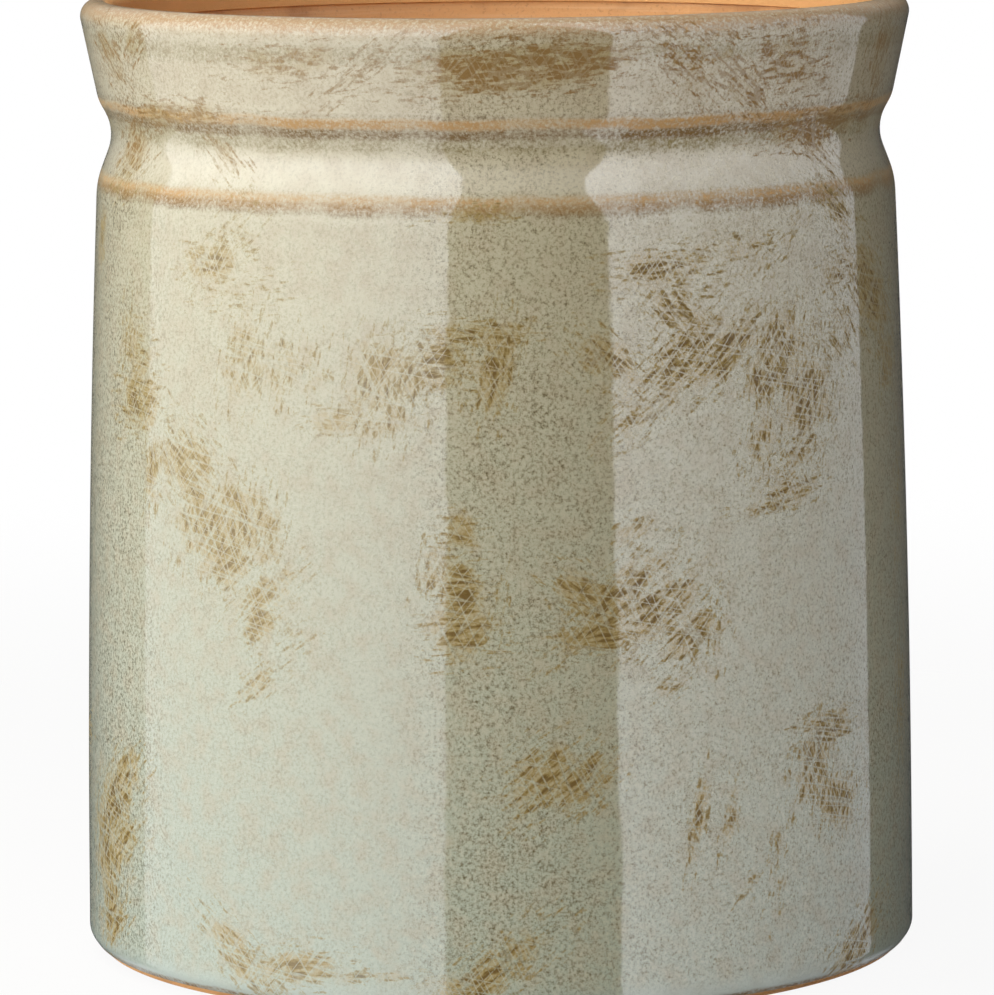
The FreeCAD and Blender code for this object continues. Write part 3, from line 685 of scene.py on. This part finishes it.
def brushed_iron(tree, colours, unrolled, grit, blush, thinner, lit_left_evened):
    """The thin wash's share, the dry-brushed iron's share and the iron's colour.

    Bristle lines run along each brush's direction, the grit breaks them up, and a mark keeps what its
    strength lifts over the iron's level. A thin wash lies round it. Scratches cross both, but hardly on
    the collar, where the brush went once round.
    """
    brown = 0.0
    for brush, degrees in BRUSHES.items():
        # The unrolled map runs down the outside, so a rising line turns the other way there.
        lines_place = add(tree, "ShaderNodeMapping",
                          {"Vector": unrolled, "Rotation": (0, 0, -math.radians(degrees)), "Scale": BRISTLE},
                          vector_type="TEXTURE")
        lines = add(tree, "ShaderNodeTexNoise",
                    {"Vector": lines_place, "Scale": 1.0, "Detail": 2.0, "Roughness": 0.6},
                    noise_dimensions="2D")
        lines = add(tree, "ShaderNodeMath", (lines, BRISTLE_WEIGHT), operation="MULTIPLY")
        strength = add(tree, "ShaderNodeAttribute", out=2, attribute_name=f"brush_{brush}")
        lifted = add(tree, "ShaderNodeMath", (strength, STRENGTH_WEIGHT, lines), operation="MULTIPLY_ADD")
        brown = add(tree, "ShaderNodeMath", (brown, lifted), operation="MAXIMUM")
    brown = add(tree, "ShaderNodeMath", (grit, GRIT_WEIGHT, brown), operation="MULTIPLY_ADD")
    streaks = add(tree, "ShaderNodeMapRange", (brown, *IRON_LEVELS, 0, 0.94), interpolation_type="SMOOTHSTEP")
    deep = add(tree, "ShaderNodeMapRange", (brown, *DEEP_LEVELS), interpolation_type="SMOOTHSTEP")
    washed = add(tree, "ShaderNodeAttribute", out=2, attribute_name="brush_wash")
    washed = add(tree, "ShaderNodeMath", (blush, 0.7, washed), operation="MULTIPLY_ADD")
    washed = add(tree, "ShaderNodeMapRange", (washed, 0.58, 1.20, 0, 0.60), interpolation_type="SMOOTHSTEP")
    kept = 1.0
    for degrees in SCRATCH_DEGREES:
        scratch_place = add(tree, "ShaderNodeMapping",
                            {"Vector": unrolled, "Rotation": (0, 0, math.radians(degrees)), "Scale": SCRATCH},
                            vector_type="TEXTURE")
        scratch = add(tree, "ShaderNodeTexNoise", {"Vector": scratch_place, "Scale": 1.0, "Detail": 0.5},
                      noise_dimensions="2D")
        scratch = add(tree, "ShaderNodeMath", (scratch, 0.5), operation="SUBTRACT")
        scratch = add(tree, "ShaderNodeMath", (scratch,), operation="ABSOLUTE")
        clear = add(tree, "ShaderNodeMapRange", (scratch, 0.006, 0.058, 0.24, 1.0))
        kept = add(tree, "ShaderNodeMath", (kept, clear), operation="MULTIPLY")
    uncrossed = add(tree, "ShaderNodeMath", (thinner, 0.62), operation="MULTIPLY")
    kept = add(tree, "ShaderNodeMath", (kept, uncrossed), operation="MAXIMUM")
    washed = add(tree, "ShaderNodeMath", (washed, kept), operation="MULTIPLY")
    # Painted light: the brushed iron is fainter on the brightly lit left front.
    lit_left_fade = add(tree, "ShaderNodeMapRange", (lit_left_evened, 0, 1, 1, 0.74))
    kept = add(tree, "ShaderNodeMath", (kept, lit_left_fade), operation="MULTIPLY")
    streaks = add(tree, "ShaderNodeMath", (streaks, kept), operation="MULTIPLY")
    iron = add(tree, "ShaderNodeMix",
               {0: deep, 6: list(colours.brushed), 7: list(colours.brushed_deep)}, 2, data_type="RGBA")
    iron = add(tree, "ShaderNodeMix", {0: thinner, 6: iron, 7: list(colours.brushed_collar)}, 2,
               data_type="RGBA")
    return washed, streaks, iron


def celadon(colours):
    """Glossy celadon glaze, dipped and dry-brushed: a clear coat over grey-green with a dense sandy grain,
    rust-brown brushed marks, worn tan lines on the edges and a smooth pale pool at the foot."""
    material, tree = new_material("brushed_celadon_glaze")
    place = add(tree, "ShaderNodeTexCoord", out=3)
    unrolled = add(tree, "ShaderNodeUVMap", uv_map="turned")
    axes = add(tree, "ShaderNodeSeparateXYZ", (place,)).node.outputs
    side, height = axes[0], axes[2]
    grit = add(tree, "ShaderNodeTexNoise",
               {"Vector": place, "Scale": 1 / GRIT, "Detail": 3.0, "Roughness": 0.75})
    blush = add(tree, "ShaderNodeTexNoise", {"Vector": place, "Scale": 1 / BLUSH, "Detail": 2.0})
    mottle = add(tree, "ShaderNodeTexNoise", {"Vector": place, "Scale": 1 / MOTTLE, "Detail": 3.0})
    higher = add(tree, "ShaderNodeMapRange", (height, *WARM_ABOVE))
    thinner = add(tree, "ShaderNodeMapRange", (height, *THIN_ABOVE))
    warm = add(tree, "ShaderNodeMapRange", (blush, 0.42, 0.68, 0, 0.36))
    pale, dark, gritty, lit_left_evened = glaze_sand(tree, side, grit, mottle)
    bands, rubbed, lip = worn_edges(tree, height, grit, mottle)
    washed, streaks, iron = brushed_iron(tree, colours, unrolled, grit, blush, thinner, lit_left_evened)

    # Inside the lip the glaze is thin enough to show the clay.
    flat = add(tree, "ShaderNodeVectorMath", (place, (1, 1, 0)), operation="MULTIPLY")
    radius = add(tree, "ShaderNodeVectorMath", (flat,), 1, operation="LENGTH")
    inner = add(tree, "ShaderNodeMapRange", (radius, *INNER_RADIUS))
    upper = add(tree, "ShaderNodeMapRange", (height, *INNER_ABOVE))
    inner = add(tree, "ShaderNodeMath", (inner, upper), operation="MULTIPLY")

    # Cooler below and warmer above, then the layers from the ground up.
    tone = add(tree, "ShaderNodeMix",
               {0: higher, 6: list(colours.glaze_low), 7: list(colours.glaze_high)}, 2, data_type="RGBA")
    # Among the bands, the stain below the collar is partly painted shade and the pale neck band is painted
    # light.
    for part, name in ((thinner, "glaze_collar"), (warm, "blush"), (pale, "sand"), (dark, "speck"), *bands,
                       (lip, "lip"), (washed, "washed")):
        tone = add(tree, "ShaderNodeMix", {0: part, 6: tone, 7: list(getattr(colours, name))}, 2,
                   data_type="RGBA")
    tone = add(tree, "ShaderNodeMix", {0: streaks, 6: tone, 7: iron}, 2, data_type="RGBA")
    tone = add(tree, "ShaderNodeMix", {0: inner, 6: tone, 7: list(colours.clay)}, 2, data_type="RGBA")

    # The sand stands up under a smooth coat and its iron specks have a little lustre. Brushed iron,
    # worn edges, the lip and the thin glaze inside it are drier.
    sandy = add(tree, "ShaderNodeBump", {"Strength": 1.0, "Distance": GRIT_RELIEF, "Height": grit})
    smooth = add(tree, "ShaderNodeBump", {"Strength": 0.4, "Distance": BLUSH_RELIEF, "Height": blush})
    dry = inner
    for part, dryness in ((lip, 0.4), (streaks, 0.7), (rubbed, 0.7)):
        part = add(tree, "ShaderNodeMath", (part, dryness), operation="MULTIPLY")
        dry = add(tree, "ShaderNodeMath", (dry, part), operation="MAXIMUM")
    coat = add(tree, "ShaderNodeMapRange", (blush, 0.35, 0.65, 1, 0.86))
    coat = add(tree, "ShaderNodeMath", (coat, gritty), operation="SUBTRACT")
    coat = add(tree, "ShaderNodeMath", (coat, dry), operation="SUBTRACT", use_clamp=True)
    lustre = add(tree, "ShaderNodeMath", (dark, 0.25), operation="MULTIPLY")
    rough = add(tree, "ShaderNodeMapRange", (dark, 0, 1, 0.55, 0.25))
    shader = add(tree, "ShaderNodeBsdfPrincipled",
                 {"Base Color": tone, "Metallic": lustre, "Roughness": rough, "IOR": 1.2, "Coat Weight": coat,
                  "Coat Roughness": 0.05, "Coat IOR": 1.7, "Normal": sandy, "Coat Normal": smooth})
    add(tree, "ShaderNodeOutputMaterial", {"Surface": shader})
    return material


def rubber(name, colours, pebble):
    """Moulded black rubber: matt, with a fine pebble from the mould and a dusty grey bloom."""
    material, tree = new_material(name)
    place = add(tree, "ShaderNodeTexCoord", out=3)
    dust = add(tree, "ShaderNodeTexNoise", {"Vector": place, "Scale": 1 / RUBBER_DUST, "Detail": 5.0})
    pebbles = add(tree, "ShaderNodeTexNoise", {"Vector": place, "Scale": 1 / pebble, "Detail": 2.0})
    bloom = add(tree, "ShaderNodeMapRange", (dust, 0.45, 0.75), interpolation_type="SMOOTHSTEP")
    tone = add(tree, "ShaderNodeMix",
               {0: bloom, 6: list(colours.rubber), 7: list(colours.rubber_bloom)}, 2, data_type="RGBA")
    rough = add(tree, "ShaderNodeMapRange", (dust, 0.3, 0.7, 0.55, 0.8))
    bump = add(tree, "ShaderNodeBump", {"Strength": 0.4, "Distance": PEBBLE_RELIEF, "Height": pebbles})
    shader = add(tree, "ShaderNodeBsdfPrincipled",
                 {"Base Color": tone, "Roughness": rough, "IOR": 1.52, "Normal": bump})
    add(tree, "ShaderNodeOutputMaterial", {"Surface": shader})
    return material


def polypropylene(colours):
    """Moulded dark polypropylene: satin, with a fine sparked texture and grey scuffs from gravel."""
    material, tree = new_material("satin_polypropylene")
    place = add(tree, "ShaderNodeTexCoord", out=3)
    spark = add(tree, "ShaderNodeTexNoise", {"Vector": place, "Scale": 1 / SPARK, "Detail": 2.0})
    scrape_place = add(tree, "ShaderNodeMapping",
                       {"Vector": place, "Rotation": (0, 0, SCRAPE_TURN), "Scale": SCRAPE},
                       vector_type="TEXTURE")
    scrapes = add(tree, "ShaderNodeTexNoise", {"Vector": scrape_place, "Scale": 1.0, "Detail": 3.0})
    scuffed = add(tree, "ShaderNodeMapRange", (scrapes, 0.58, 0.70, 0, 0.7), interpolation_type="SMOOTHSTEP")
    tone = add(tree, "ShaderNodeMix",
               {0: scuffed, 6: list(colours.screen), 7: list(colours.screen_scuff)}, 2, data_type="RGBA")
    rough = add(tree, "ShaderNodeMapRange", (scrapes, 0.4, 0.7, 0.38, 0.60))
    bump = add(tree, "ShaderNodeBump", {"Strength": 0.3, "Distance": SPARK_RELIEF, "Height": spark})
    shader = add(tree, "ShaderNodeBsdfPrincipled",
                 {"Base Color": tone, "Roughness": rough, "IOR": 1.49, "Normal": bump})
    add(tree, "ShaderNodeOutputMaterial", {"Surface": shader})
    return material


def dress(nodes, material):
    """Give CAD nodes a material in every slot."""
    for name in nodes:
        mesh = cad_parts[name].data
        mesh.materials.clear()
        mesh.materials.append(material)


class FLOWERPOT_OT_throw_vessel(Operator):
    """Throw the clay vessel: its section turned about Z, with finger rings inside and trimmed lines below"""
    bl_idname = "flowerpot.throw_vessel"
    bl_label = "Throw the vessel"

    def execute(self, context):
        pot = context.scene.flower_pot
        sizes, marks = pot.sizes, pot.marks
        outline = rounded_outline(clay_outline(sizes, marks), CLAY_ARC)
        normal = outward(outline)
        azimuth = np.linspace(-math.pi, math.pi, marks.clay_columns, endpoint=False)[None, :]
        radius, height = outline[:, :1], outline[:, 1:]
        floor_up = sizes.foot_height + sizes.floor_thickness
        glaze_up = sizes.pot_height - sizes.glaze_lip_drop
        # Finger rings climb one spacing each turn and spiral out on the floor, and the trimming tool's
        # lines spiral out under it. All fade towards the edges and only cut into the clay.
        wall = (normal[:, :1] < -FACING) & (height > floor_up)
        wall_fade = smooth_step(*RING_OVER_FLOOR, height - floor_up)
        wall_fade = wall_fade * smooth_step(*RING_UNDER_GLAZE, glaze_up - height)
        floor = (normal[:, 1:] > FACING) & (height < floor_up + MM) & (radius > sizes.drain_radius)
        floor_fade = smooth_step(*FLOOR_RING_INNER, radius) * smooth_step(*FLOOR_RING_OUTER, radius)
        under = (normal[:, 1:] < -FACING) & (height > 0.5 * sizes.foot_height)
        under_fade = smooth_step(*TRIM_INNER, radius) * smooth_step(*TRIM_OUTER, radius)
        cut = 0
        for face, fade, turns, depth in (
                (wall, wall_fade, height / marks.ring_spacing, marks.ring_depth),
                (floor, floor_fade, radius / (FLOOR_RING_STRETCH * marks.ring_spacing), marks.ring_depth),
                (under, under_fade, radius / marks.trim_spacing, marks.trim_depth)):
            wave = 0.5 - 0.5 * np.cos(FULL_TURN * turns + azimuth)
            cut = cut + np.where(face, fade * wave, 0) * depth
        foot_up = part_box("clay_body")[0][2]
        mesh = turned_mesh("clay_vessel", radius - cut * normal[:, :1],
                           height - cut * normal[:, 1:] + foot_up, azimuth)
        vessel = shown("clay_vessel", mesh, terracotta(pot.colours))
        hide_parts("clay_body")
        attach(vessel, "pot")
        return {"FINISHED"}


class FLOWERPOT_OT_lay_glaze(Operator):
    """Lay the glaze: its thin section turned about Z with a slow ripple, and its brushed marks"""
    bl_idname = "flowerpot.lay_glaze"
    bl_label = "Lay the glaze"

    def execute(self, context):
        pot = context.scene.flower_pot
        sizes, marks = pot.sizes, pot.marks
        outline = rounded_outline(glaze_outline(sizes), GLAZE_ARC)
        normal = outward(outline)
        azimuth = np.linspace(-math.pi, math.pi, marks.columns, endpoint=False)[None, :]
        radius, height = outline[:, :1], outline[:, 1:]
        foot_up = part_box("clay_body")[0][2]
        # The ripple is a sum of slow waves of the azimuth and height, and only ever goes inwards.
        waves = sum(np.sin(count * azimuth + height / rise + phase) for count, rise, phase in RIPPLE_WAVES)
        waves = (waves - len(RIPPLE_WAVES)) / (2 * len(RIPPLE_WAVES))
        outside = (normal[:, :1] > RIPPLE_FACING) & (height > 2 * sizes.bevel_height)
        ripple = np.where(outside, waves, 0) * marks.ripple
        mesh = turned_mesh("glaze_skin", radius + ripple * normal[:, :1],
                           height + ripple * normal[:, 1:] + foot_up, azimuth)
        for brush, strength in brushed_strength(azimuth, height + foot_up, sizes.belly_radius).items():
            attribute = mesh.attributes.new(f"brush_{brush}", "FLOAT", "POINT")
            attribute.data.foreach_set("value", strength.astype(np.float32).ravel())
        skin = shown("glaze_skin", mesh, celadon(pot.colours))
        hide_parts("glaze_coat")
        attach(skin, "pot")
        return {"FINISHED"}


class FLOWERPOT_OT_mould_plug(Operator):
    """Give the drain plug its moulded rubber"""
    bl_idname = "flowerpot.mould_plug"
    bl_label = "Mould the plug"

    def execute(self, context):
        dress(["drain_plug"], rubber("moulded_plug_rubber", context.scene.flower_pot.colours, PLUG_PEBBLE))
        return {"FINISHED"}


class FLOWERPOT_OT_mould_screen(Operator):
    """Give the drain screen its moulded plastic"""
    bl_idname = "flowerpot.mould_screen"
    bl_label = "Mould the screen"

    def execute(self, context):
        dress(["drain_screen"], polypropylene(context.scene.flower_pot.colours))
        return {"FINISHED"}


class FLOWERPOT_OT_stick_pads(Operator):
    """Give the foot pads their rubber"""
    bl_idname = "flowerpot.stick_pads"
    bl_label = "Stick on the pads"

    def execute(self, context):
        pads = [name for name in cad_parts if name.startswith("foot_pad")]
        dress(pads, rubber("foot_pad_rubber", context.scene.flower_pot.colours, PAD_PEBBLE))
        return {"FINISHED"}


def seen_white(tree):
    """1 for rays of the camera, also by way of a mirror or glass, and 0 for the rest."""
    ray = add(tree, "ShaderNodeLightPath").node.outputs
    seen = add(tree, "ShaderNodeMath", (ray["Is Camera Ray"], ray["Is Glossy Ray"]), operation="ADD")
    return add(tree, "ShaderNodeMath", (seen, ray["Is Transmission Ray"]), operation="ADD", use_clamp=True)


def pale_floor(colours):
    """Seamless studio paper: matt and almost white, lit up for the camera but still taking the shadow,
    fading into the white background, and clear from below."""
    material, tree = new_material("studio_paper")
    place = add(tree, "ShaderNodeTexCoord", out=3)
    lit = add(tree, "ShaderNodeMath", (seen_white(tree), FLOOR_WHITE), operation="MULTIPLY")
    fibre = add(tree, "ShaderNodeTexNoise", {"Vector": place, "Scale": 1 / FLOOR_FIBRE, "Detail": 4.0})
    paler = add(tree, "ShaderNodeMapRange", (fibre, 0, 1, 0.97, 1))
    tone = add(tree, "ShaderNodeMix", {0: 1.0, 6: list(colours.floor), 7: paler}, 2, data_type="RGBA",
               blend_type="MULTIPLY")
    paper = add(tree, "ShaderNodeBsdfDiffuse", {"Color": tone})
    glow = add(tree, "ShaderNodeEmission", {"Color": (1, 1, 1, 1), "Strength": 1.0})
    paper = add(tree, "ShaderNodeMixShader", (lit, paper, glow))
    away = add(tree, "ShaderNodeVectorMath", (place,), 1, operation="LENGTH")
    gone = add(tree, "ShaderNodeMapRange", (away, *FLOOR_FADE), interpolation_type="SMOOTHSTEP")
    below = add(tree, "ShaderNodeNewGeometry").node.outputs["Backfacing"]
    gone = add(tree, "ShaderNodeMath", (gone, below), operation="MAXIMUM")
    clear = add(tree, "ShaderNodeBsdfTransparent")
    paper = add(tree, "ShaderNodeMixShader", (gone, paper, clear))
    add(tree, "ShaderNodeOutputMaterial", {"Surface": paper})
    return material


def panel_light():
    """Light panels and dark cards round the set, as the glaze mirrors them."""
    material, tree = new_material("light_panels")
    glow = add(tree, "ShaderNodeAttribute", out=2, attribute_name="glow")
    light = add(tree, "ShaderNodeEmission", {"Color": PANEL_TINT, "Strength": glow})
    add(tree, "ShaderNodeOutputMaterial", {"Surface": light})
    return material


def grid_mesh(name, points):
    """Open mesh through a grid of points, rows by columns by three."""
    rows, columns, _ = points.shape
    row, column = np.meshgrid(np.arange(rows - 1), np.arange(columns - 1), indexing="ij")
    first = row * columns + column
    faces = np.stack([first, first + 1, first + columns + 1, first + columns], axis=2).reshape(-1, 4)
    mesh = bpy.data.meshes.new(name)
    mesh.from_pydata(points.reshape(-1, 3), [], faces)
    return mesh


class FLOWERPOT_OT_set_stage(Operator):
    """Set the floor, the light panels, the lamps and the camera"""
    bl_idname = "flowerpot.set_stage"
    bl_label = "Set the stage"

    def floor(self, colours):
        """A round sheet that faces up: radius and turn as the two parameters."""
        rows, columns = FLOOR_GRID
        away, turn = np.meshgrid(np.linspace(0, FLOOR_RADIUS, rows), np.linspace(FULL_TURN, 0, columns),
                                 indexing="ij")
        points = np.stack([away * np.cos(turn), away * np.sin(turn), np.zeros_like(away)], axis=2)
        sheet = shown("studio_floor", grid_mesh("studio_floor", points), pale_floor(colours))
        sheet.visible_glossy = False

    def surround(self, stage):
        """A dome round the set, seen only in reflections: azimuth and elevation as the two parameters.

        Its glow is bright across the left and right panels, whose front edges lean in towards the top,
        which fade towards the back and grow above the horizon, and dark in front and behind.
        """
        columns, rows = DOME_GRID
        azimuth, elevation = np.meshgrid(np.linspace(-180, 180, columns), np.linspace(*DOME_REACH, rows))
        turn, rise = np.radians(azimuth), np.radians(elevation)
        points = np.stack([np.sin(turn) * np.cos(rise), -np.cos(turn) * np.cos(rise), np.sin(rise)], axis=2)

        def change(start, end, amount, angle):
            """An amount that grows from none to full between two angles."""
            return amount * smooth_step(start, end, angle)

        lean = PANEL_LEAN * (elevation - PANEL_LEVEL)
        left = (azimuth > LEFT_PANEL[0] + lean) & (azimuth < LEFT_PANEL[1] + lean)
        right = (azimuth > RIGHT_PANEL[0] - lean) & (azimuth < RIGHT_PANEL[1])
        lift = smooth_step(*PANEL_RISE, elevation) * (1 - change(*PANEL_DIM, elevation))
        left_glow = stage.left_panel * (1 - change(*LEFT_FADE, azimuth)) * (1 + LEFT_LIFT * lift)
        right_glow = stage.right_panel * (1 - change(*RIGHT_FADE, azimuth)) * (1 + RIGHT_LIFT * lift)
        glow = DARK_GLOW + change(*LOW_GLOW, elevation) + change(*HIGH_GLOW, elevation)
        glow = np.where(left, left_glow, np.where(right, right_glow, glow))
        mesh = grid_mesh("light_surround", DOME * points)
        attribute = mesh.attributes.new("glow", "FLOAT", "POINT")
        attribute.data.foreach_set("value", glow.astype(np.float32).ravel())
        dome = shown("light_surround", mesh, panel_light())
        for ray in ("camera", "diffuse", "transmission", "volume_scatter", "shadow"):
            setattr(dome, f"visible_{ray}", False)

    def lamp(self, name, power, azimuth, away, up, size, tint):
        """A square soft box that faces the middle of the pot and shows in no reflection."""
        light = bpy.data.lights.new(name, "AREA")
        light.energy = power
        light.size = size
        light.color = linear(tint)[:3]
        lamp = bpy.data.objects.new(name, light)
        bpy.context.scene.collection.objects.link(lamp)
        turn = math.radians(azimuth)
        lamp.location = (away * math.sin(turn), -away * math.cos(turn), up)
        aim = Vector(np.mean(CAD_BOX, axis=0)) - lamp.location
        lamp.rotation_euler = aim.to_track_quat("-Z", "Y").to_euler()
        lamp.visible_glossy = False

    def camera(self, stage):
        """The photograph's camera: level distance, height over the lip, pitch and roll."""
        camera = bpy.data.cameras.new("camera")
        camera.lens = stage.lens
        camera.clip_end = CAMERA_REACH
        eye = bpy.data.objects.new("camera", camera)
        bpy.context.scene.collection.objects.link(eye)
        turn = Matrix.Rotation(math.pi / 2 - stage.pitch, 4, "X") @ Matrix.Rotation(stage.roll, 4, "Z")
        spot = (stage.camera_side, -stage.camera_away, CAD_BOX[1][2] + stage.camera_over_lip)
        eye.matrix_world = Matrix.Translation(spot) @ turn
        bpy.context.scene.camera = eye

    def world(self, stage):
        """White to the camera and in reflections, a dim even light on matt surfaces."""
        world = bpy.data.worlds.new("studio")
        bpy.context.scene.world = world
        world.use_nodes = True
        tree = world.node_tree
        tree.nodes.clear()
        level = add(tree, "ShaderNodeMapRange", (seen_white(tree), 0, 1, stage.ambient, 1))
        sky = add(tree, "ShaderNodeBackground", {"Color": (1, 1, 1, 1), "Strength": level})
        add(tree, "ShaderNodeOutputWorld", {"Surface": sky})

    def execute(self, context):
        pot = context.scene.flower_pot
        stage = pot.stage
        context.scene.view_settings.view_transform = "Standard"
        self.floor(pot.colours)
        self.surround(stage)
        for name, (power, *rest) in LAMPS.items():
            self.lamp(name, getattr(stage, power), *rest)
        self.world(stage)
        self.camera(stage)
        return {"FINISHED"}


class FLOWERPOT_PT_pieces(Panel):
    """The pot's pieces and stage in the sidebar"""
    bl_idname = "FLOWERPOT_PT_pieces"
    bl_label = "Flower pot"
    bl_space_type = "VIEW_3D"
    bl_region_type = "UI"
    bl_category = "Flower pot"

    def draw(self, context):
        for operator in OPERATORS:
            self.layout.operator(operator.bl_idname)
        pot = context.scene.flower_pot
        for group in (pot.sizes, pot.marks, pot.colours, pot.stage):
            box = self.layout.box()
            for name in group.__annotations__:
                box.prop(group, name)


OPERATORS = (FLOWERPOT_OT_throw_vessel, FLOWERPOT_OT_lay_glaze, FLOWERPOT_OT_mould_plug,
             FLOWERPOT_OT_mould_screen, FLOWERPOT_OT_stick_pads, FLOWERPOT_OT_set_stage)
CLASSES = (VesselSizes, ThrownMarks, PotColours, StageSettings, PotSettings, *OPERATORS, FLOWERPOT_PT_pieces)


def register():
    """Register the classes and hang the settings on the scene."""
    for one in CLASSES:
        bpy.utils.register_class(one)
    bpy.types.Scene.flower_pot = PointerProperty(type=PotSettings)


def unregister():
    """Take the settings and classes away again."""
    del bpy.types.Scene.flower_pot
    for one in reversed(CLASSES):
        bpy.utils.unregister_class(one)


def main():
    """Build every piece and the stage."""
    register()
    bpy.ops.flowerpot.throw_vessel()
    bpy.ops.flowerpot.lay_glaze()
    bpy.ops.flowerpot.mould_plug()
    bpy.ops.flowerpot.mould_screen()
    bpy.ops.flowerpot.stick_pads()
    bpy.ops.flowerpot.set_stage()


if __name__ == "__main__":
    main()
